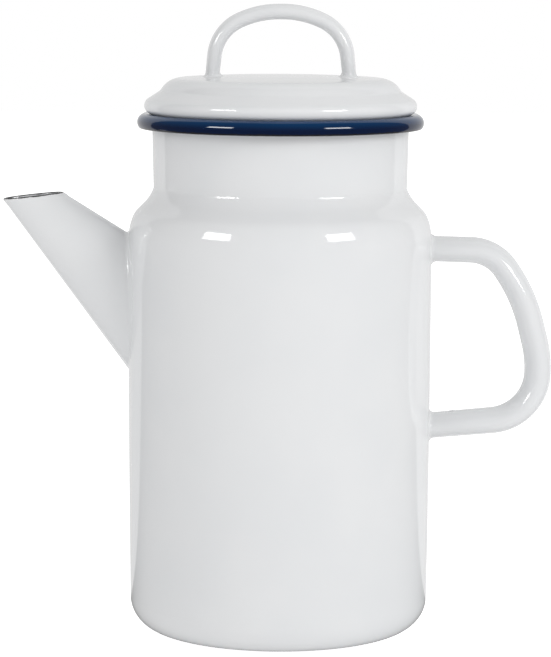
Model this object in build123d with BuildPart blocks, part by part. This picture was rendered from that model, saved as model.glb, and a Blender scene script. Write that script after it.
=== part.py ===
from build123d import *
import os
from math import atan2, cos, degrees, dist, radians, sin, tan

# Enamelled steel coffee pot, about two litres, with a lift-off lid.
# The origin is on the pot's axis, at the table. The spout points to -X and the handle to +X.

os.makedirs("parts", exist_ok=True)

# Pressed steel sheet, with its enamel on both faces.
sheet = 1.0

# Pot body: outside radii, heights and bends of its outline.
body_radius = 63.0
base_radius = 62.1
base_lift = 1.2
foot_inner_radius = 39.0
foot_ramp = 3.5
base_corner = 13.5
wall_bulge_height = 77.5
wall_curve = 9000.0
shoulder_corner_height = 172.2
shoulder_slope = 44.5
shoulder_radius = 14.8
neck_radius = 52.6
neck_fillet = 11.2
neck_top_radius = 53.2

# Rolled rim: the mouth's edge turned outward into an open curl.
curl_radius = 3.6
curl_height = 212.3
curl_end_angle = -38.0

# Lid: one pressed sheet. Its bead rests on the rim, and its skirt goes down inside the neck.
lid_top = 231.5
lid_crown_radius = 21.5
lid_crown_curve = 660.0
lid_edge = (46.4, 230.2)
lid_edge_radius = 9.0
lid_groove = (49.9, 225.15)
lid_groove_radius = 3.0
lid_bead_corner = (59.2, 219.2)
lid_bead_radius = 3.45
lid_seat_slope = 35.0
lid_seat_radius = 2.0
lid_skirt_radius = 51.3
lid_skirt_bottom = 203.0

# Lid handle: a flattened rod bent to an arch, along its centre line.
arch_foot = 28.5
arch_side_corner = (26.4, 250.0)
arch_top_corner = (9.0, 257.85)
arch_bends = (18.0, 36.0)
arch_thickness = 6.3
arch_width = 10.0

# Side handle: a hollow D-shaped loop of two pressed halves, along its centre line.
handle_thickness = 10.6
handle_width = 17.5
handle_root = 60.0
handle_upper_arm = 160.1
handle_corners = ((88.8, 159.3), (101.7, 140.3), (108.1, 114.9), (107.5, 89.6))
handle_lower_arm = 85.4
handle_bends = (18.2, 68.0, 47.0, 20.7)
vent_diameter = 2.5
vent_distance = 72.0

# Spout: an oval cone of two pressed halves, cut off nearly level at the mouth.
mouth_rear = (-90.6, 182.97)
mouth_tip = (-115.35, 180.15)
spout_upper_slope = -31.9
spout_lower_slope = -53.7
mouth_half_width = 7.25
root_half_width = 14.5
spout_length = 58.7
spout_start = 30.0
spout_end = 136.0

# Strainer: round holes through the wall, where the spout covers it.
strainer_hole = 4.0
strainer_pitch = 7.0
strainer_bottom = 119.0
strainer_rows = 7


def heading(p, q):
    """The direction from p to q in a section, in degrees."""
    return degrees(atan2(q[1] - p[1], q[0] - p[0]))


def meeting(p, p_heading, q, q_heading):
    """The point where a line through p meets a line through q."""
    px, pz = cos(radians(p_heading)), sin(radians(p_heading))
    qx, qz = cos(radians(q_heading)), sin(radians(q_heading))
    reach = ((q[0] - p[0]) * qz - (q[1] - p[1]) * qx) / (px * qz - pz * qx)
    return (p[0] + reach * px, p[1] + reach * pz)


def beside(p, direction, gap):
    """The point at a gap to the left of p, for someone who looks along the direction."""
    return (p[0] - gap * sin(radians(direction)), p[1] + gap * cos(radians(direction)))


def sheet_outline(outer, bends, gap):
    """A pressed sheet's section. Its outer face follows the route, its inner face lies a gap beside."""
    ways = [heading(p, q) for p, q in zip(outer, outer[1:])]
    starts = [beside(p, way, gap) for p, way in zip(outer, ways)]
    corners = [
        meeting(p, way, q, next_way)
        for p, way, q, next_way in zip(starts, ways, starts[1:], ways[1:])
    ]
    inner = [starts[0], *corners, beside(outer[-1], ways[-1], gap)]
    left_turns = [sin(radians(b - a)) > 0 for a, b in zip(ways, ways[1:])]
    inner_bends = [r - gap if left else r + gap for r, left in zip(bends, left_turns)]
    with BuildLine() as outline:
        FilletPolyline(*outer, radius=bends)
        FilletPolyline(*inner, radius=inner_bends)
        Line(outer[0], inner[0])
        Line(outer[-1], inner[-1])
    return outline.edges()


def filled_outline(outer, bends):
    """Everything between a route and the axis. The route starts on the axis."""
    with BuildLine() as outline:
        FilletPolyline(*outer, radius=bends)
        Polyline(outer[-1], (0, outer[-1][1]), outer[0])
    return outline.edges()


# The body's route runs from the middle of the base to the top of the neck, with its sheet on the left.
shoulder_corner = (body_radius, shoulder_corner_height)
neck_corner = meeting(shoulder_corner, 90 + shoulder_slope, (neck_radius, 0), 90)
body_route = [
    (0, base_lift),
    (foot_inner_radius, base_lift),
    (foot_inner_radius + foot_ramp, 0),
    (base_radius, 0),
    (body_radius, wall_bulge_height),
    shoulder_corner,
    neck_corner,
    (neck_top_radius, curl_height),
]
body_bends = [4.0, 4.0, base_corner, wall_curve, shoulder_radius, neck_fillet]

# The lid's route runs from its middle to the bottom of its skirt, with its sheet on the right.
skirt_corner = meeting(lid_bead_corner, 180 + lid_seat_slope, (lid_skirt_radius, 0), 90)
lid_route = [
    (0, lid_top),
    (lid_crown_radius, lid_top),
    lid_edge,
    lid_groove,
    lid_bead_corner,
    skirt_corner,
    (lid_skirt_radius, lid_skirt_bottom),
]
lid_bends = [lid_crown_curve, lid_edge_radius, lid_groove_radius, lid_bead_radius, lid_seat_radius]

# The spout's two edges meet at the cone's apex, and its axis halves the angle between them.
apex = meeting(mouth_rear, spout_upper_slope, mouth_tip, spout_lower_slope)
spout_slope = (spout_upper_slope + spout_lower_slope) / 2
spout_half_angle = (spout_upper_slope - spout_lower_slope) / 2
spout_axis = Vector(cos(radians(spout_slope)), 0, sin(radians(spout_slope)))
mouth_middle = ((mouth_rear[0] + mouth_tip[0]) / 2, (mouth_rear[1] + mouth_tip[1]) / 2)
mouth_distance = dist(mouth_middle, apex)
mouth_slope = radians(heading(mouth_tip, mouth_rear))
mouth_plane = Plane(
    origin=(mouth_middle[0], 0, mouth_middle[1]),
    x_dir=(0, 1, 0),
    z_dir=(-sin(mouth_slope), 0, cos(mouth_slope)),
)


def cut_to_body():
    """Takes away whatever of the current part reaches inside the body's outer face."""
    with BuildSketch(Plane.XZ) as inside_body:
        make_face(filled_outline(body_route, body_bends))
    revolve(inside_body.sketch, axis=Axis.Z, mode=Mode.SUBTRACT)


# Body: the deep-drawn pot, with the strainer holes behind the spout.
with BuildPart() as body_shell:
    with BuildSketch(Plane.XZ):
        make_face(sheet_outline(body_route, body_bends, sheet))
    revolve(axis=Axis.Z)
    split(bisect_by=Plane.XY.offset(curl_height), keep=Keep.BOTTOM)
    strainer_plane = Plane(origin=(-body_radius - sheet, 0, 0), x_dir=(0, 1, 0), z_dir=(1, 0, 0))
    with BuildSketch(strainer_plane):
        for row in range(strainer_rows):
            row_height = strainer_bottom + row * strainer_pitch
            holes_in_row = 3 - row % 2
            with Locations((0, row_height)):
                with GridLocations(strainer_pitch, strainer_pitch, holes_in_row, 1):
                    Circle(strainer_hole / 2)
    extrude(amount=4 * sheet, mode=Mode.SUBTRACT)

# Rim: the curl at the neck's edge, with a rounded enamel edge that faces down and in.
with BuildPart() as rim_bead:
    curl_centre = (neck_top_radius - sheet + curl_radius, curl_height)
    curl_sweep = 180 - curl_end_angle
    edge_middle = curl_radius - sheet / 2
    edge_x = cos(radians(curl_end_angle))
    edge_z = sin(radians(curl_end_angle))
    with BuildSketch(Plane.XZ):
        with BuildLine():
            outside = CenterArc(curl_centre, curl_radius, curl_end_angle, curl_sweep)
            inside = CenterArc(curl_centre, curl_radius - sheet, curl_end_angle, curl_sweep)
            edge_tip = (
                curl_centre[0] + edge_middle * edge_x + sheet / 2 * edge_z,
                curl_centre[1] + edge_middle * edge_z - sheet / 2 * edge_x,
            )
            ThreePointArc(outside @ 0, edge_tip, inside @ 0)
            Line(outside @ 1, inside @ 1)
        make_face()
    revolve(axis=Axis.Z)


def spout_oval(distance, gap):
    """The spout's oval section, square to its axis, a gap inside the outer face."""
    height = distance * tan(radians(spout_half_angle))
    widening = (root_half_width - mouth_half_width) / spout_length
    width = mouth_half_width + (distance - mouth_distance) * widening
    place = Vector(apex[0], 0, apex[1]) + spout_axis * distance
    with BuildSketch(Plane(origin=place, x_dir=(0, 1, 0), z_dir=spout_axis)) as oval:
        Ellipse(width - gap, height - gap)
    return oval.sketch


def spout_sheet():
    """The whole spout as one sheet, from its mouth to the body's wall."""
    loft([spout_oval(spout_start, 0), spout_oval(spout_end, 0)], ruled=True)
    hollow = [spout_oval(spout_start, sheet), spout_oval(spout_end, sheet)]
    loft(hollow, ruled=True, mode=Mode.SUBTRACT)
    split(bisect_by=mouth_plane, keep=Keep.BOTTOM)
    cut_to_body()


# Spout: two pressed halves, welded along its upper and lower edges.
with BuildPart() as spout_front_half:
    spout_sheet()
    split(bisect_by=Plane.XZ, keep=Keep.TOP)

with BuildPart() as spout_back_half:
    spout_sheet()
    split(bisect_by=Plane.XZ, keep=Keep.BOTTOM)


def handle_loop():
    """The whole hollow handle, from the wall round the grip and back to the wall."""
    route = [(handle_root, handle_upper_arm), *handle_corners, (handle_root, handle_lower_arm)]
    with BuildLine(Plane.XZ) as path:
        FilletPolyline(*route, radius=handle_bends)
    start_way = radians(heading(route[0], route[1]))
    start_plane = Plane(
        origin=(handle_root, 0, handle_upper_arm),
        x_dir=(0, 1, 0),
        z_dir=(cos(start_way), 0, sin(start_way)),
    )
    half_width = handle_width / 2
    half_thickness = handle_thickness / 2
    with BuildSketch(start_plane) as section:
        Ellipse(half_width, half_thickness)
        Ellipse(half_width - sheet, half_thickness - sheet, mode=Mode.SUBTRACT)
    sweep(section.sketch, path=path.line)
    with BuildSketch(Plane.XY.offset(handle_lower_arm)) as vent:
        with Locations((vent_distance, 0)):
            Circle(vent_diameter / 2)
    extrude(vent.sketch, amount=handle_upper_arm - handle_lower_arm, mode=Mode.SUBTRACT)
    cut_to_body()


# Side handle: two pressed halves, welded along the outside and the inside of the loop.
# A vent hole near each end, on the side towards the fingers, lies on the seam.
with BuildPart() as handle_front_half:
    handle_loop()
    split(bisect_by=Plane.XZ, keep=Keep.TOP)

with BuildPart() as handle_back_half:
    handle_loop()
    split(bisect_by=Plane.XZ, keep=Keep.BOTTOM)

# Lid: the pressed sheet.
with BuildPart() as lid_shell:
    with BuildSketch(Plane.XZ):
        make_face(sheet_outline(lid_route, lid_bends, -sheet))
    revolve(axis=Axis.Z)

# Lid handle: the bent rod, its feet shaped to the lid's crown.
with BuildPart() as lid_handle:
    foot_depth = lid_top - 2 * sheet
    right_side = [(arch_foot, foot_depth), arch_side_corner, arch_top_corner]
    left_side = [(-x, z) for x, z in reversed(right_side)]
    with BuildLine(Plane.XZ) as arch:
        FilletPolyline(*right_side, *left_side, radius=(*arch_bends, *reversed(arch_bends)))
    foot_way = radians(heading(right_side[0], right_side[1]))
    foot_plane = Plane(
        origin=(arch_foot, 0, foot_depth),
        x_dir=(sin(foot_way), 0, -cos(foot_way)),
        z_dir=(cos(foot_way), 0, sin(foot_way)),
    )
    with BuildSketch(foot_plane):
        Ellipse(arch_thickness / 2, arch_width / 2)
    sweep(path=arch.line)
    with BuildSketch(Plane.XZ):
        make_face(filled_outline(lid_route, lid_bends))
    revolve(axis=Axis.Z, mode=Mode.SUBTRACT)

pieces = {
    "body_shell": body_shell,
    "rim_bead": rim_bead,
    "spout_front_half": spout_front_half,
    "spout_back_half": spout_back_half,
    "handle_front_half": handle_front_half,
    "handle_back_half": handle_back_half,
    "lid_shell": lid_shell,
    "lid_handle": lid_handle,
}
for name, piece in pieces.items():
    piece.part.label = name
    export_step(piece.part, f"parts/{name}.step")
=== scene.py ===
from bisect import bisect
from math import acos, atan2, ceil, copysign, cos, degrees, dist, exp, hypot, pi, radians, sin, tan

import bmesh
import bpy
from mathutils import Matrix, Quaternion, Vector


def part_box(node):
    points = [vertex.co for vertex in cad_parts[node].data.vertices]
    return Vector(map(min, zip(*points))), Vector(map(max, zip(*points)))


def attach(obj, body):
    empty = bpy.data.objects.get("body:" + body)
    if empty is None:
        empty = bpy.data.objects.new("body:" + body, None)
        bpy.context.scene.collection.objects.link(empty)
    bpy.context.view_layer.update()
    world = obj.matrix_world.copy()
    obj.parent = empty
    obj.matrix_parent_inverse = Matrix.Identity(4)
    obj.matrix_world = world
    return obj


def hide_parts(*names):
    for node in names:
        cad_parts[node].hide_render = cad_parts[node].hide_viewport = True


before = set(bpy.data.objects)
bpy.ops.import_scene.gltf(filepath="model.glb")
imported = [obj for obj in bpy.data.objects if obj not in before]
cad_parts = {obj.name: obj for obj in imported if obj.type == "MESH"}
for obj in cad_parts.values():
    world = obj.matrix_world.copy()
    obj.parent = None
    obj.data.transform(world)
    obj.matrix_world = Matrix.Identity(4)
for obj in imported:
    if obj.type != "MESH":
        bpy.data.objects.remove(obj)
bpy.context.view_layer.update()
mm = 0.001


# ---------------------------------------------------------------- Body
# One sheet of steel, deep drawn to a tall can and necked in at the shoulder, then fired with
# white enamel inside and out. It stands on the flat ring round its raised base. Seven rows of
# holes are punched through the wall as a strainer, where the spout covers it.
sheet = 1.0
body_radius = 63.0
base_radius = 62.1
base_lift = 1.2
foot_inner_radius = 39.0
foot_ramp = 3.5
shoulder_corner = (body_radius, 172.2)
shoulder_slope = 44.5
neck_radius = 52.6
neck_top_radius = 53.2
neck_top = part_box("body_shell")[1].z / mm
shoulder_bends = [24.0, 9.0]
neck_bends = [16.0, 4.0]
body_bends = [4.0, 4.0, 13.5, 9000.0, *shoulder_bends, *neck_bends]


def heading(p, q):
    """The direction from p to q in a section, in degrees."""
    return degrees(atan2(q[1] - p[1], q[0] - p[0]))


def meeting(p, p_heading, q, q_heading):
    """The point where a line through p meets a line through q."""
    px, pz = cos(radians(p_heading)), sin(radians(p_heading))
    qx, qz = cos(radians(q_heading)), sin(radians(q_heading))
    reach = ((q[0] - p[0]) * qz - (q[1] - p[1]) * qx) / (px * qz - pz * qx)
    return (p[0] + reach * px, p[1] + reach * pz)


def beside(x, z, way, gap):
    """The point a gap to the left of a place, for someone who looks along the way."""
    return (x - gap * sin(radians(way)), z + gap * cos(radians(way)))


def rounded(route, bends, run, turn=4.0):
    """Places along a route with rounded corners, each with the way the route goes there."""
    ways = [heading(p, q) for p, q in zip(route, route[1:])]
    places = [(*route[0], ways[0])]
    for corner, way, next_way, bend in zip(route[1:-1], ways, ways[1:], bends):
        turned = (next_way - way + 180) % 360 - 180
        reach = bend * tan(radians(abs(turned)) / 2)
        start = (corner[0] - reach * cos(radians(way)), corner[1] - reach * sin(radians(way)))
        inward = copysign(bend, turned)
        middle = beside(*start, way, inward)
        places += straight(places[-1], (*start, way), run)
        steps = ceil(max(abs(turned) / turn, bend * radians(abs(turned)) / run, 2))
        for step in range(1, steps + 1):
            step_way = way + turned * step / steps
            places.append((*beside(*middle, step_way, -inward), step_way))
    return places + straight(places[-1], (*route[-1], ways[-1]), run)


def straight(start, end, run):
    """Evenly spaced places after start, up to and with end."""
    length = dist(start[:2], end[:2])
    steps = max(1, ceil(length / run))
    gaps = [(b - a) / steps for a, b in zip(start, end)]
    return [
        (start[0] + gaps[0] * step, start[1] + gaps[1] * step, end[2])
        for step in range(1, steps + 1)
    ]


def sheet_section(places, gap, edge_steps=0):
    """A pressed sheet's section, with its other face a gap to the left and a rounded last edge."""
    face = [(x, z) for x, z, way in places]
    back = [beside(x, z, way, gap) for x, z, way in places]
    x, z, way = places[-1]
    edge_middle = beside(x, z, way, gap / 2)
    half_turn = copysign(180, gap)
    edge_ways = [way + half_turn * step / edge_steps for step in range(1, edge_steps)]
    edge = [beside(*edge_middle, edge_way, -gap / 2) for edge_way in edge_ways]
    return face + edge + back[::-1]


def made_object(name, shape, sharp=40.0):
    """An object made from a bmesh, smooth except at folds that are sharper than an angle."""
    bmesh.ops.recalc_face_normals(shape, faces=shape.faces)
    mesh = bpy.data.meshes.new(name)
    shape.to_mesh(mesh)
    shape.free()
    mesh.shade_smooth()
    mesh.set_sharp_from_angle(angle=radians(sharp))
    piece = bpy.data.objects.new(name, mesh)
    bpy.context.scene.collection.objects.link(piece)
    return piece


def spun(name, section, segments=256):
    """A section in millimetres, turned about the pot's axis. It's a loop unless it starts there."""
    shape = bmesh.new()
    turns = [2 * pi * segment / segments for segment in range(segments)]
    rings = []
    for x, z in section:
        if x < sheet / 1000:
            rings.append([shape.verts.new((0, 0, z * mm))] * segments)
        else:
            ring = [(x * cos(turn) * mm, x * sin(turn) * mm, z * mm) for turn in turns]
            rings.append([shape.verts.new(corner) for corner in ring])
    if section[0][0] > sheet / 1000:
        rings.append(rings[0])
    for ring, next_ring in zip(rings, rings[1:]):
        for this in range(segments):
            after = (this + 1) % segments
            corners = [ring[this], ring[after], next_ring[after], next_ring[this]]
            shape.faces.new(dict.fromkeys(corners))
    return made_object(name, shape)


def drilled(piece, holes, radius, depth, steps=32):
    """Cuts round holes into a piece. Each hole is a start and a way, in millimetres."""
    shape = bmesh.new()
    for start, way in holes:
        turn = Vector(way).to_track_quat("Z", "Y").to_matrix().to_4x4()
        turn.translation = (Vector(start) + Vector(way).normalized() * depth / 2) * mm
        bmesh.ops.create_cone(
            shape,
            cap_ends=True,
            segments=steps,
            radius1=radius * mm,
            radius2=radius * mm,
            depth=depth * mm,
            matrix=turn,
        )
    drill = made_object("drill", shape)
    cutting = piece.modifiers.new("holes", "BOOLEAN")
    cutting.object = drill
    cutting.solver = "EXACT"
    bpy.context.view_layer.update()
    seen = piece.evaluated_get(bpy.context.evaluated_depsgraph_get())
    cut_mesh = bpy.data.meshes.new_from_object(seen)
    piece.modifiers.clear()
    piece.data = cut_mesh
    cut_mesh.shade_smooth()
    cut_mesh.set_sharp_from_angle(angle=radians(40))
    bpy.data.objects.remove(drill)


def eased(corner, way, next_way, bends):
    """Two corners that stand in for one, so that its bend can be tighter at one end."""
    turned = radians(abs(next_way - way))
    reach = sum(bends) * tan(turned / 4) / (2 * cos(turned / 2))
    before = (corner[0] - reach * cos(radians(way)), corner[1] - reach * sin(radians(way)))
    after = (corner[0] + reach * cos(radians(next_way)), corner[1] + reach * sin(radians(next_way)))
    return [before, after]


neck_corner = meeting(shoulder_corner, 90 + shoulder_slope, (neck_radius, 0), 90)
body_route = [
    (0, base_lift),
    (foot_inner_radius, base_lift),
    (foot_inner_radius + foot_ramp, 0),
    (base_radius, 0),
    (body_radius, 77.5),
    *eased(shoulder_corner, 90, 90 + shoulder_slope, shoulder_bends),
    *eased(neck_corner, 90 + shoulder_slope, 90, neck_bends),
    (neck_top_radius, neck_top),
]
body_places = rounded(body_route, body_bends, run=3.0)
body = spun("pot_body", sheet_section(body_places, sheet))

strainer_hole = 4.0
strainer_pitch = 7.0
strainer_bottom = 119.0
strainer_rows = 7
strainer_holes = []
for row in range(strainer_rows):
    holes_in_row = 3 - row % 2
    for hole in range(holes_in_row):
        aside = (hole - (holes_in_row - 1) / 2) * strainer_pitch
        hole_height = strainer_bottom + row * strainer_pitch
        strainer_holes.append(((-body_radius - sheet, aside, hole_height), (1, 0, 0)))
drilled(body, strainer_holes, strainer_hole / 2, 4 * sheet)


def node(tree, kind, inputs=None, **settings):
    """Adds a node. An input is a plain value or another node's output."""
    added = tree.nodes.new(kind)
    for setting, value in settings.items():
        setattr(added, setting, value)
    for socket, value in (inputs or {}).items():
        if isinstance(value, bpy.types.NodeSocket):
            tree.links.new(value, added.inputs[socket])
        else:
            added.inputs[socket].default_value = value
    return added


def number(tree, operation, *values):
    """The result of a Math node."""
    return node(tree, "ShaderNodeMath", dict(enumerate(values)), operation=operation).outputs[0]


def faded(tree, value, start, end):
    """A mask that goes smoothly from 0 to 1 as the value goes from start to end."""
    inputs = {"Value": value, "From Min": start, "From Max": end}
    return node(tree, "ShaderNodeMapRange", inputs, interpolation_type="SMOOTHSTEP").outputs[0]


def mixed(tree, mask, plain, other):
    """A colour that goes from plain to other as the mask goes from 0 to 1."""
    return node(tree, "ShaderNodeMix", {0: mask, 6: plain, 7: other}, data_type="RGBA").outputs[2]


def place(tree):
    """The place on the object, in metres."""
    return node(tree, "ShaderNodeTexCoord").outputs["Object"]


def noise(tree, length, detail=2.0):
    """Soft patches of about the given length, in millimetres, between 0 and 1."""
    inputs = {"Vector": place(tree), "Scale": 1 / (length * mm), "Detail": detail}
    return node(tree, "ShaderNodeTexNoise", inputs).outputs["Fac"]


def node_group(name, inputs, outputs):
    """An empty shader node group, with its tree, its input sockets and its output node."""
    tree = bpy.data.node_groups.new(name, "ShaderNodeTree")
    for socket, value in inputs.items():
        made = tree.interface.new_socket(socket, in_out="INPUT", socket_type="NodeSocketFloat")
        made.default_value = value
    for socket in outputs:
        tree.interface.new_socket(socket, in_out="OUTPUT", socket_type="NodeSocketFloat")
    return tree, tree.nodes.new("NodeGroupInput").outputs, tree.nodes.new("NodeGroupOutput")


# The glaze lies in slow waves and a fine orange peel, with heights in metres.
glaze_flow, given, result = node_group(
    "Glaze flow", {"Wave height": 12e-6, "Peel height": 0.5e-6}, ["Height"]
)
wave = number(glaze_flow, "MULTIPLY", noise(glaze_flow, 14.0, 1.0), given["Wave height"])
peel = number(glaze_flow, "MULTIPLY", noise(glaze_flow, 1.8, 1.0), given["Peel height"])
glaze_flow.links.new(number(glaze_flow, "ADD", wave, peel), result.inputs["Height"])

# The glaze is a little deeper in some patches, and holds a few dark specks and hazy marks.
glaze_tone, given, result = node_group(
    "Glaze tone", {"Speck radius": 0.14e-3}, ["Depth", "Haze", "Speck"]
)
speck_spacing = 24.0
speck_cells = node(
    glaze_tone,
    "ShaderNodeTexVoronoi",
    {"Vector": place(glaze_tone), "Scale": 1 / (speck_spacing * mm)},
)
from_speck = number(glaze_tone, "MULTIPLY", speck_cells.outputs["Distance"], speck_spacing * mm)
speck_edge = number(glaze_tone, "MULTIPLY", given["Speck radius"], 0.4)
speck = faded(glaze_tone, from_speck, given["Speck radius"], speck_edge)
depth = faded(glaze_tone, noise(glaze_tone, 38.0), 0.3, 0.7)
haze = faded(glaze_tone, noise(glaze_tone, 23.0, 5.0), 0.45, 0.8)
glaze_tone.links.new(depth, result.inputs["Depth"])
glaze_tone.links.new(haze, result.inputs["Haze"])
glaze_tone.links.new(speck, result.inputs["Speck"])

# At an edge the glaze draws back unevenly, and the dark ground coat shows through.
thin_glaze, given, result = node_group(
    "Thin glaze", {"From edge": 1.0, "Reach": 0.5e-3}, ["Bare"]
)
uneven = number(thin_glaze, "MULTIPLY_ADD", noise(thin_glaze, 2.6, 3.0), 1.6, 0.1)
edge_reach = number(thin_glaze, "MULTIPLY", uneven, given["Reach"])
past_edge = number(thin_glaze, "SUBTRACT", given["From edge"], edge_reach)
thin_glaze.links.new(faded(thin_glaze, past_edge, 0.12e-3, -0.08e-3), result.inputs["Bare"])

white_glaze = (0.765, 0.772, 0.780, 1)
deep_white_glaze = (0.745, 0.755, 0.766, 1)
ground_coat = (0.012, 0.012, 0.014, 1)


def enamel(name, glaze, deep_glaze, roughness=0.06, refraction=1.5, wave_height=12e-6):
    """An enamel finish. The bare edges are added to it where a piece has them."""
    material = bpy.data.materials.new(name)
    material.use_nodes = True
    tree = material.node_tree
    shader = tree.nodes["Principled BSDF"]
    shader.inputs["IOR"].default_value = refraction
    tone = node(tree, "ShaderNodeGroup", node_tree=glaze_tone)
    flow = node(tree, "ShaderNodeGroup", node_tree=glaze_flow)
    flow.inputs["Wave height"].default_value = wave_height
    clean = mixed(tree, tone.outputs["Depth"], glaze, deep_glaze)
    specked = mixed(tree, tone.outputs["Speck"], clean, ground_coat)
    tree.links.new(specked, shader.inputs["Base Color"])
    hazy = number(tree, "MULTIPLY_ADD", tone.outputs["Haze"], 0.03, roughness)
    tree.links.new(hazy, shader.inputs["Roughness"])
    inputs = {"Strength": 1.0, "Distance": 1.0, "Height": flow.outputs["Height"]}
    bump = node(tree, "ShaderNodeBump", inputs)
    tree.links.new(bump.outputs["Normal"], shader.inputs["Normal"])
    return material


def recolour(material, mask, colour):
    """Paints a colour over a finish, where the mask is 1."""
    tree = material.node_tree
    under = tree.nodes["Principled BSDF"].inputs["Base Color"].links[0].from_socket
    over = mixed(tree, mask, under, colour)
    tree.links.new(over, tree.nodes["Principled BSDF"].inputs["Base Color"])


def bare_edge(material, from_edge, reach):
    """Shows the ground coat near an edge. The distance from the edge is a node's output."""
    tree = material.node_tree
    inputs = {"From edge": from_edge, "Reach": reach * mm}
    thin = node(tree, "ShaderNodeGroup", inputs, node_tree=thin_glaze)
    recolour(material, thin.outputs["Bare"], ground_coat)


def height_in(tree):
    """The height above the table, in metres."""
    return node(tree, "ShaderNodeSeparateXYZ", {0: place(tree)}).outputs["Z"]


def radius_in(tree):
    """The distance from the pot's axis, in metres."""
    flat = node(tree, "ShaderNodeVectorMath", {0: place(tree), 1: (1, 1, 0)}, operation="MULTIPLY")
    length = node(tree, "ShaderNodeVectorMath", {0: flat.outputs[0]}, operation="LENGTH")
    return length.outputs["Value"]


body_enamel = enamel("body_enamel", white_glaze, deep_white_glaze)
body.data.materials.clear()
body.data.materials.append(body_enamel)
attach(body, "pot")
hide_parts("body_shell")


# ---------------------------------------------------------------- Rim
# The neck's edge, rolled outward into an open curl and dipped in navy enamel. Low on the curl
# the navy is painted darker, as painted shade where the curl faces down. The curl ends in a thin
# edge that faces down, where the glaze has drawn back from the steel.
curl_radius = 3.6
curl_end = -38.0
curl_centre = (neck_top_radius - sheet + curl_radius, neck_top)
curl_steps = 56
curl_places = []
for step in range(curl_steps + 1):
    curl_turn = 180 + (curl_end - 180) * step / curl_steps
    curl_point = beside(*curl_centre, curl_turn - 90, curl_radius)
    curl_places.append((*curl_point, curl_turn - 90))
rim = spun("rim_bead", sheet_section(curl_places, -sheet, edge_steps=8))

rim_bare_reach = 0.7
navy_glaze = (0.0010, 0.036, 0.115, 1)
deep_navy_glaze = (0.0008, 0.030, 0.100, 1)
# A darker navy, used as painted shade low on the curl.
painted_shade_navy = (0.0003, 0.006, 0.032, 1)
painted_shade_start = neck_top + 3.2
painted_shade_end = neck_top - 0.5
rim_enamel = enamel("rim_enamel", navy_glaze, deep_navy_glaze)
rim_tree = rim_enamel.node_tree
# Painted shade: the navy darkens towards the lower half of the curl.
lower_curl_painted_shade = faded(rim_tree, height_in(rim_tree), painted_shade_start * mm, painted_shade_end * mm)
recolour(rim_enamel, lower_curl_painted_shade, painted_shade_navy)
rim_edge = (curl_places[-1][0] * mm, curl_places[-1][1] * mm)
edge_aside = number(rim_tree, "SUBTRACT", radius_in(rim_tree), rim_edge[0])
edge_above = number(rim_tree, "SUBTRACT", height_in(rim_tree), rim_edge[1])
across = node(rim_tree, "ShaderNodeCombineXYZ", {0: edge_aside, 1: edge_above}).outputs[0]
from_rim_edge = node(rim_tree, "ShaderNodeVectorMath", {0: across}, operation="LENGTH")
bare_edge(rim_enamel, from_rim_edge.outputs["Value"], rim_bare_reach)
rim.data.materials.append(rim_enamel)
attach(rim, "pot")
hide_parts("rim_bead")


# ---------------------------------------------------------------- Spout
# Two pressed halves of an oval cone, welded along the upper and lower edges and to the wall.
# Enamel fills the corner at the wall and swells below the mouth, whose cut edge stays dark.
mouth_rear = (-90.6, 182.97)
mouth_tip = (-115.35, 180.15)
spout_upper_slope = -31.9
spout_lower_slope = -53.7
mouth_half_width = 7.25
root_half_width = 14.5
spout_length = 58.7
spout_fillet = 2.6
seam_fillet_share = 0.35
spout_bare_reach = 0.42
lip_swell = 0.22
seam_dip = 0.10
seam_half_width = 0.45

apex = meeting(mouth_rear, spout_upper_slope, mouth_tip, spout_lower_slope)
apex = Vector((apex[0], 0, apex[1]))
spout_slope = radians((spout_upper_slope + spout_lower_slope) / 2)
spout_half_angle = radians((spout_upper_slope - spout_lower_slope) / 2)
spout_axis = Vector((cos(spout_slope), 0, sin(spout_slope)))
spout_up = Vector((-sin(spout_slope), 0, cos(spout_slope)))
mouth_middle = Vector(((mouth_rear[0] + mouth_tip[0]) / 2, 0, (mouth_rear[1] + mouth_tip[1]) / 2))
mouth_distance = (mouth_middle - apex).length
mouth_slope = radians(heading(mouth_tip, mouth_rear))
mouth_normal = Vector((-sin(mouth_slope), 0, cos(mouth_slope)))

wall_heights = [z for x, z, way in body_places if x > foot_inner_radius + 3 * foot_ramp]
wall_radii = [x for x, z, way in body_places if x > foot_inner_radius + 3 * foot_ramp]


def pot_radius(height):
    """The body's outside radius at a height."""
    after = min(max(bisect(wall_heights, height), 1), len(wall_heights) - 1)
    below, above = wall_heights[after - 1], wall_heights[after]
    share = (height - below) / (above - below)
    return wall_radii[after - 1] + share * (wall_radii[after] - wall_radii[after - 1])


def off_pot(point):
    """How far a point is outside the body."""
    return hypot(point.x, point.y) - pot_radius(point.z)


def onto_pot(point, sunk=0.02):
    """The point beside it on the body's outer face, sunk a little so that no gap shows."""
    stretch = (pot_radius(point.z) - sunk) / hypot(point.x, point.y)
    return Vector((point.x * stretch, point.y * stretch, point.z))


def landing_point(start, way, off_face, reach=120.0):
    """The point where a line from start comes to a face."""
    near, far = 0.0, reach
    for halving in range(40):
        middle = (near + far) / 2
        if off_face(start + way * middle) > 0:
            near = middle
        else:
            far = middle
    return start + way * near


def landing(start, way, outward, radius, off_face, onto_face, steps=7):
    """Points of a rounded corner, from a line that comes down to a face, out onto the face."""
    foot = landing_point(start, way, off_face)
    along = (onto_face(foot + outward * radius) - foot).normalized()
    half_corner = acos(max(-1.0, min(1.0, -way.dot(along)))) / 2
    reach = radius / tan(half_corner)
    begin, end = foot - way * reach, foot + along * reach
    weight = sin(half_corner)
    points = []
    for step in range(steps + 1):
        b = step / steps
        a = 1 - b
        whole = a * a + 2 * weight * a * b + b * b
        points.append((begin * a * a + foot * 2 * weight * a * b + end * b * b) / whole)
    points[-1] = onto_face(points[-1])
    return points


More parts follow.
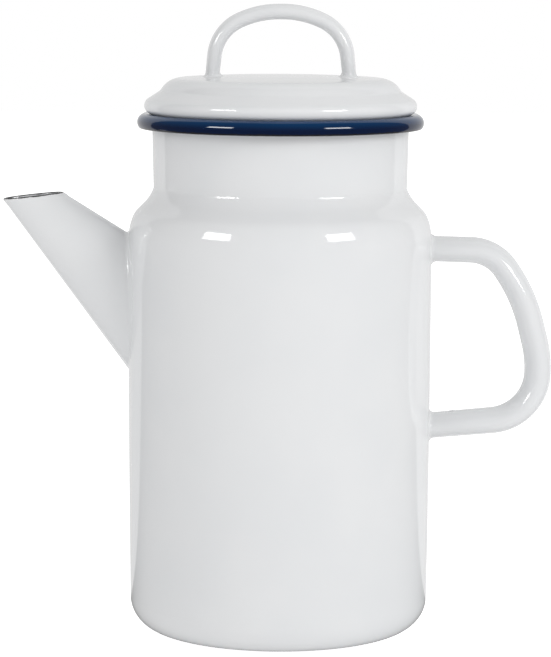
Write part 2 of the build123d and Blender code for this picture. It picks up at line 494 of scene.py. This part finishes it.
def lofted(name, loops):
    """A closed mesh through loops of equal length. Its ends are filled across each loop."""
    shape = bmesh.new()
    rings = [[shape.verts.new(point * mm) for point in loop] for loop in loops]
    count = len(loops[0])
    for ring, next_ring in zip(rings, rings[1:]):
        for this in range(count):
            after = (this + 1) % count
            shape.faces.new((ring[this], ring[after], next_ring[after], next_ring[this]))
    for ring in (rings[0], rings[-1]):
        for this in range(count // 2 - 1):
            opposite = count - 1 - this
            shape.faces.new((ring[this], ring[this + 1], ring[opposite - 1], ring[opposite]))
    return made_object(name, shape)


def spout_point(distance, turn, side, gap):
    """A point of the spout's oval. The turn goes from its upper edge, 0, to its lower one, pi."""
    height = distance * tan(spout_half_angle) - gap
    widening = (root_half_width - mouth_half_width) / spout_length
    width = mouth_half_width + (distance - mouth_distance) * widening - gap
    middle = apex + spout_axis * distance
    return middle + spout_up * (height * cos(turn)) + Vector((0, side * width * sin(turn), 0))


def spout_loop(turn, side):
    """One lengthwise section of a spout half: up inside, round the lip and down outside."""
    faces = []
    for gap in (sheet, 0):
        near = spout_point(mouth_distance, turn, side, gap)
        far = spout_point(mouth_distance + spout_length, turn, side, gap)
        way = (far - near).normalized()
        lip_drop = (mouth_middle - mouth_normal * sheet / 2 - near).dot(mouth_normal)
        faces.append((near + way * (lip_drop / way.dot(mouth_normal)), way))
    (inner_lip, inner_way), (outer_lip, outer_way) = faces
    after = spout_point(mouth_distance, turn + 0.01, side, 0)
    before = spout_point(mouth_distance, turn - 0.01, side, 0)
    outward = (after - before).cross(outer_way).normalized() * -side
    inner_foot = landing_point(inner_lip, inner_way, off_pot) + inner_way * sheet / 2
    fillet = spout_fillet * (seam_fillet_share + (1 - seam_fillet_share) * sin(turn))
    corner = landing(outer_lip, outer_way, outward, fillet, off_pot, onto_pot)
    lip_steps, outside_steps = 9, 22
    shares = [(step / outside_steps) ** 1.6 for step in range(1, outside_steps)]
    loop = [inner_foot - inner_way * (sheet * step / 10) for step in range(len(corner))]
    loop += [inner_lip.lerp(loop[-1], share) for share in reversed(shares)]
    lip_middle = (inner_lip + outer_lip) / 2
    for step in range(lip_steps + 1):
        lip_turn = pi * step / lip_steps
        across = (inner_lip - lip_middle) * cos(lip_turn)
        loop.append(lip_middle + across + mouth_normal * (sheet / 2 * sin(lip_turn)))
    seam_distance = min(turn, pi - turn) * (corner[0] - apex).length * tan(spout_half_angle)
    dip = seam_dip * exp(-((seam_distance / seam_half_width) ** 2))
    length = (corner[0] - outer_lip).length
    for share in shares:
        down = length * share
        swell = lip_swell * exp(-(((down - 1.0) / 0.9) ** 2)) - dip * min(1, down / 3)
        loop.append(outer_lip.lerp(corner[0], share) + outward * swell)
    for step, point in enumerate(corner):
        loop.append(point - outward * (dip * (1 - step / (len(corner) - 1))))
    return loop


half_turns = [pi * (1 - cos(pi * step / 44)) / 2 for step in range(45)]
for side, spout_name in ((-1, "spout_front_half"), (1, "spout_back_half")):
    spout = lofted(spout_name, [spout_loop(turn, side) for turn in half_turns])
    spout_enamel = enamel(spout_name.replace("half", "enamel"), white_glaze, deep_white_glaze)
    spout_tree = spout_enamel.node_tree
    mouth_place = mouth_middle * mm
    from_mouth = node(
        spout_tree,
        "ShaderNodeVectorMath",
        {0: place(spout_tree), 1: mouth_place},
        operation="SUBTRACT",
    )
    below_mouth = node(
        spout_tree,
        "ShaderNodeVectorMath",
        {0: from_mouth.outputs[0], 1: -mouth_normal},
        operation="DOT_PRODUCT",
    )
    bare_edge(spout_enamel, below_mouth.outputs["Value"], spout_bare_reach)
    spout.data.materials.append(spout_enamel)
    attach(spout, "pot")
    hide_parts(spout_name)


# ---------------------------------------------------------------- Side handle
# Two pressed halves, welded to each other round the outside and the inside of the loop, and
# to the wall. A small vent on the side towards the fingers lets air out when it is fired.
handle_root = 60.0
handle_corners = [(88.8, 159.3), (101.7, 140.3), (108.1, 114.9), (107.5, 89.6)]
handle_route = [(handle_root, 160.1), *handle_corners, (handle_root, 85.4)]
handle_bends = [18.2, 68.0, 47.0, 20.7]
handle_half_width = 8.75
arm_half_thickness = 5.3
grip_half_thickness = 5.55
handle_fillet = 2.0
arm_start = 68.5
vent_diameter = 2.5
vent_distance = 72.0

handle_places = rounded(handle_route, handle_bends, run=2.5)
handle_places = [spot for spot in handle_places if spot[0] > arm_start]


def handle_point(spot, turn, side, gap):
    """A point of the handle's oval. The turn is 0 at the loop's outside and pi at its inside."""
    x, z, way = spot
    share = min(1, max(0, (x - arm_start) / (handle_corners[2][0] - arm_start)))
    thickness = arm_half_thickness + (grip_half_thickness - arm_half_thickness) * share - gap
    out_x, out_z = beside(x, z, way, thickness * cos(turn))
    return Vector((out_x, side * (handle_half_width - gap) * sin(turn), out_z))


def handle_end(spot, other, turn, side):
    """The handle's outside and inside points from the wall to a place on its arm."""
    start = handle_point(spot, turn, side, 0)
    way = Vector((spot[0] - other[0], 0, spot[1] - other[1])).normalized()
    flat = start - Vector((spot[0], 0, spot[1]))
    outward = flat / arm_half_thickness**2
    outward.y = flat.y / handle_half_width**2
    corner = landing(start, way, outward.normalized(), handle_fillet, off_pot, onto_pot)
    inside = handle_point(spot, turn, side, sheet)
    foot = landing_point(inside, way, off_pot) + way * sheet / 2
    steps = len(corner)
    inner = [inside.lerp(foot, (step + 1) / steps) for step in range(steps)]
    return corner, inner


for side, handle_name in ((-1, "handle_front_half"), (1, "handle_back_half")):
    upper = [handle_end(handle_places[0], handle_places[1], turn, side) for turn in half_turns]
    lower = [handle_end(handle_places[-1], handle_places[-2], turn, side) for turn in half_turns]
    corner_steps = len(upper[0][0])
    loops = []
    for step in reversed(range(corner_steps)):
        outer = [outside[step] for outside, inside in upper]
        inner = [inside[step] for outside, inside in upper]
        loops.append(outer + inner[::-1])
    for spot in handle_places:
        outer = [handle_point(spot, turn, side, 0) for turn in half_turns]
        inner = [handle_point(spot, turn, side, sheet) for turn in half_turns]
        loops.append(outer + inner[::-1])
    for step in range(corner_steps):
        outer = [outside[step] for outside, inside in lower]
        inner = [inside[step] for outside, inside in lower]
        loops.append(outer + inner[::-1])
    handle = lofted(handle_name, loops)
    vent_way = Vector((0, 0, 1))
    drilled(handle, [((vent_distance, 0, handle_route[-1][1]), vent_way)], vent_diameter / 2, 70.0)
    handle_enamel = enamel(handle_name.replace("half", "enamel"), white_glaze, deep_white_glaze)
    handle.data.materials.clear()
    handle.data.materials.append(handle_enamel)
    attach(handle, "pot")
    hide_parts(handle_name)


# ---------------------------------------------------------------- Lid
# One pressed sheet, enamelled white. Its bead rests on the rim, and its skirt goes down inside
# the neck to a raw edge where the glaze is thin.
lid_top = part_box("lid_shell")[1].z / mm
lid_skirt_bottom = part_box("lid_shell")[0].z / mm
lid_edge = (46.4, 230.2)
lid_groove = (49.9, 225.15)
lid_bead_corner = (59.2, 219.2)
lid_seat_slope = 35.0
lid_skirt_radius = 51.3
skirt_bare_reach = 0.45
lid_bends = [660.0, 9.0, 3.0, 3.45, 2.0]
skirt_corner = meeting(lid_bead_corner, 180 + lid_seat_slope, (lid_skirt_radius, 0), 90)
lid_route = [
    (0, lid_top),
    (21.5, lid_top),
    lid_edge,
    lid_groove,
    lid_bead_corner,
    skirt_corner,
    (lid_skirt_radius, lid_skirt_bottom + sheet / 2),
]
lid_places = rounded(lid_route, lid_bends, run=1.5)
lid = spun("lid", sheet_section(lid_places, -sheet, edge_steps=8))

lid_enamel = enamel("lid_enamel", white_glaze, deep_white_glaze)
lid_tree = lid_enamel.node_tree
above_skirt_edge = number(lid_tree, "SUBTRACT", height_in(lid_tree), lid_skirt_bottom * mm)
bare_edge(lid_enamel, above_skirt_edge, skirt_bare_reach)
lid.data.materials.append(lid_enamel)
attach(lid, "lid")
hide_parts("lid_shell")


# ---------------------------------------------------------------- Lid handle
# A flattened rod bent to an arch and welded to the lid's crown, under the same white enamel,
# which fills the corners round its two feet.
arch_leg_start = (27.99, 234.5)
arch_side_corner = (26.4, 250.0)
arch_top_corner = (9.0, 257.85)
arch_bends = [18.0, 38.0]
leg_half_thickness = 2.94
top_half_thickness = 3.23
arch_half_width = 5.0
arch_fillet = 2.0
arch_ring = 48

crown_heights = [z for x, z, way in lid_places if x < lid_edge[0]]
crown_radii = [x for x, z, way in lid_places if x < lid_edge[0]]


def lid_height(radius):
    """The height of the lid's crown at a distance from the axis."""
    after = min(max(bisect(crown_radii, radius), 1), len(crown_radii) - 1)
    near, far = crown_radii[after - 1], crown_radii[after]
    share = (radius - near) / (far - near)
    return crown_heights[after - 1] + share * (crown_heights[after] - crown_heights[after - 1])


def off_lid(point):
    """How far a point is above the lid's crown."""
    return point.z - lid_height(hypot(point.x, point.y))


def onto_lid(point, sunk=0.02):
    """The point below or above it on the lid's crown, sunk a little so that no gap shows."""
    return Vector((point.x, point.y, lid_height(hypot(point.x, point.y)) - sunk))


right_side = [arch_leg_start, arch_side_corner, arch_top_corner]
left_side = [(-x, z) for x, z in reversed(right_side)]
arch_places = rounded(right_side + left_side, arch_bends + arch_bends[::-1], run=2.0)


def arch_thickness(height):
    """Half the rod's thickness, which grows from the legs to the top."""
    share = (height - arch_leg_start[1]) / (arch_top_corner[1] - arch_leg_start[1])
    return leg_half_thickness + (top_half_thickness - leg_half_thickness) * share


def arch_point(spot, turn):
    """A point of the rod's oval, with the turn counted from the outside of the arch."""
    x, z, way = spot
    out_x, out_z = beside(x, z, way, -arch_thickness(z) * cos(turn))
    return Vector((out_x, arch_half_width * sin(turn), out_z))


ring_turns = [2 * pi * step / arch_ring for step in range(arch_ring)]


def arch_foot(spot, other):
    """Loops of the rounded corner where a leg comes down to the crown."""
    way = Vector((spot[0] - other[0], 0, spot[1] - other[1])).normalized()
    corners = []
    for turn in ring_turns:
        start = arch_point(spot, turn)
        flat = start - Vector((spot[0], 0, spot[1]))
        outward = flat / leg_half_thickness**2
        outward.y = flat.y / arch_half_width**2
        corners.append(landing(start, way, outward.normalized(), arch_fillet, off_lid, onto_lid))
    return [[corner[step] for corner in corners] for step in range(len(corners[0]))]


arch_loops = arch_foot(arch_places[0], arch_places[1])[::-1]
arch_loops += [[arch_point(spot, turn) for turn in ring_turns] for spot in arch_places]
arch_loops += arch_foot(arch_places[-1], arch_places[-2])
arch = lofted("lid_handle", arch_loops)
arch_enamel = enamel("lid_handle_enamel", white_glaze, deep_white_glaze)
arch.data.materials.append(arch_enamel)
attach(arch, "lid")
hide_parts("lid_handle")


# ---------------------------------------------------------------- Room
# A pale paper sweep behind the pot and under it, a dark room in front, and a soft box at each
# side of the camera. A glossy face mirrors the sweep, the room and the boxes.
sweep_glow = 0.80
room_glow = 0.14
sheen_glow = 14.0
sweep_half_width = 55.0
room_turn = 1.2
sheen_azimuth = 49.5
sheen_elevation = 20.5
sheen_half_width = 11.2
sheen_half_height = 6.2


def blended(tree, mask, plain, other):
    """A value that goes from plain to other as the mask goes from 0 to 1."""
    return node(tree, "ShaderNodeMix", {0: mask, 2: plain, 3: other}).outputs[0]


def inside(tree, angle, middle, half_width, blur=0.5):
    """A mask that is 1 where the angle is within half a width, in degrees, of the middle."""
    aside = number(tree, "ABSOLUTE", number(tree, "SUBTRACT", angle, radians(middle)))
    return faded(tree, aside, radians(half_width + blur), radians(half_width - blur))


mirrored_room, given, result = node_group(
    "Mirrored room", {"X": 0.0, "Y": 1.0, "Up": 0.0}, ["Glow"]
)
round_pot = number(mirrored_room, "ARCTAN2", given["X"], given["Y"])
round_room = number(mirrored_room, "SUBTRACT", round_pot, radians(room_turn))
from_behind = number(mirrored_room, "ABSOLUTE", round_room)
upward = number(mirrored_room, "ARCSINE", given["Up"])
sweep_edge = radians(sweep_half_width)
sweep_seen = faded(mirrored_room, from_behind, sweep_edge + radians(1), sweep_edge - radians(1))
sweep_part = blended(mirrored_room, sweep_seen, room_glow, sweep_glow)
box_across = inside(mirrored_room, from_behind, 180 - sheen_azimuth, sheen_half_width)
box_up = inside(mirrored_room, upward, sheen_elevation, sheen_half_height)
box_seen = number(mirrored_room, "MULTIPLY", box_across, box_up)
box_part = number(mirrored_room, "MULTIPLY_ADD", box_seen, sheen_glow, sweep_part)
mirrored_room.links.new(box_part, result.inputs["Glow"])

world = bpy.data.worlds.new("surround")
bpy.context.scene.world = world
world.use_nodes = True
world_tree = world.node_tree
surround = world_tree.nodes["Background"]
world_rays = node(world_tree, "ShaderNodeLightPath").outputs
toward = node(world_tree, "ShaderNodeTexCoord").outputs["Generated"]
toward = node(world_tree, "ShaderNodeSeparateXYZ", {0: toward}).outputs
inputs = {"X": toward[0], "Y": toward[1], "Up": toward[2]}
mirrored = node(world_tree, "ShaderNodeGroup", inputs, node_tree=mirrored_room).outputs["Glow"]
surround_glow = 0.65
right_side_gain = 0.06
lit = number(world_tree, "MULTIPLY_ADD", toward[0], right_side_gain, surround_glow)
seen = blended(world_tree, world_rays["Is Glossy Ray"], lit, mirrored)
seen = blended(world_tree, world_rays["Is Camera Ray"], seen, 1.0)
world_tree.links.new(seen, surround.inputs["Color"])

room_size = 8.0
lit_paper_glow = 0.32
seen_paper_glow = 0.75
shape = bmesh.new()
bmesh.ops.create_grid(shape, x_segments=1, y_segments=1, size=room_size / 2)
floor = made_object("floor", shape)
floor_paper = bpy.data.materials.new("floor_paper")
floor_paper.use_nodes = True
floor_tree = floor_paper.node_tree
floor_shader = floor_tree.nodes["Principled BSDF"]
floor_rays = node(floor_tree, "ShaderNodeLightPath").outputs
paper = mixed(floor_tree, floor_rays["Is Glossy Ray"], (0.8, 0.8, 0.8, 1), (0, 0, 0, 1))
floor_tree.links.new(paper, floor_shader.inputs["Base Color"])
floor_shader.inputs["Roughness"].default_value = 0.9
floor_shader.inputs["Specular IOR Level"].default_value = 0.0
floor_shader.inputs["Emission Strength"].default_value = 1.0
on_floor = node(floor_tree, "ShaderNodeSeparateXYZ", {0: place(floor_tree)}).outputs
inputs = {"X": on_floor[0], "Y": on_floor[1]}
mirrored = node(floor_tree, "ShaderNodeGroup", inputs, node_tree=mirrored_room).outputs["Glow"]
floor_glow = blended(floor_tree, floor_rays["Is Glossy Ray"], lit_paper_glow, mirrored)
floor_glow = blended(floor_tree, floor_rays["Is Camera Ray"], floor_glow, seen_paper_glow)
floor_tree.links.new(floor_glow, floor_shader.inputs["Emission Color"])
floor.data.materials.append(floor_paper)

box_middle = Vector((0, 0, 0.13))
box_distance = 1.7
box_azimuth = 47.0
box_elevation = 25.0
box_width = 25.0
box_height = 20.0
for side, box_glow in ((-1, 2.4), (1, 5.7)):
    light = bpy.data.lights.new("soft_box", "AREA")
    light.shape = "RECTANGLE"
    light.size = 2 * box_distance * tan(radians(box_width / 2))
    light.size_y = 2 * box_distance * tan(radians(box_height / 2))
    light.energy = box_glow * pi * light.size * light.size_y
    soft_box = bpy.data.objects.new("soft_box", light)
    bpy.context.scene.collection.objects.link(soft_box)
    azimuth, elevation = radians(box_azimuth * side), radians(box_elevation)
    way = Vector((sin(azimuth) * cos(elevation), -cos(azimuth) * cos(elevation), sin(elevation)))
    soft_box.location = box_middle + way * box_distance
    soft_box.rotation_euler = way.to_track_quat("Z", "Y").to_euler()
    soft_box.visible_glossy = False

camera_data = bpy.data.cameras.new("camera")
camera_data.lens = 171.9
camera = bpy.data.objects.new("camera", camera_data)
bpy.context.scene.collection.objects.link(camera)
camera.location = (-0.0017, -1.3, 0.2862)
camera_pitch = 0.1225
camera_roll = 0.0047
camera.rotation_mode = "QUATERNION"
level = Quaternion((1, 0, 0), pi / 2 - camera_pitch)
camera.rotation_quaternion = level @ Quaternion((0, 0, 1), camera_roll)
bpy.context.scene.camera = camera
bpy.context.scene.view_settings.view_transform = "Standard"
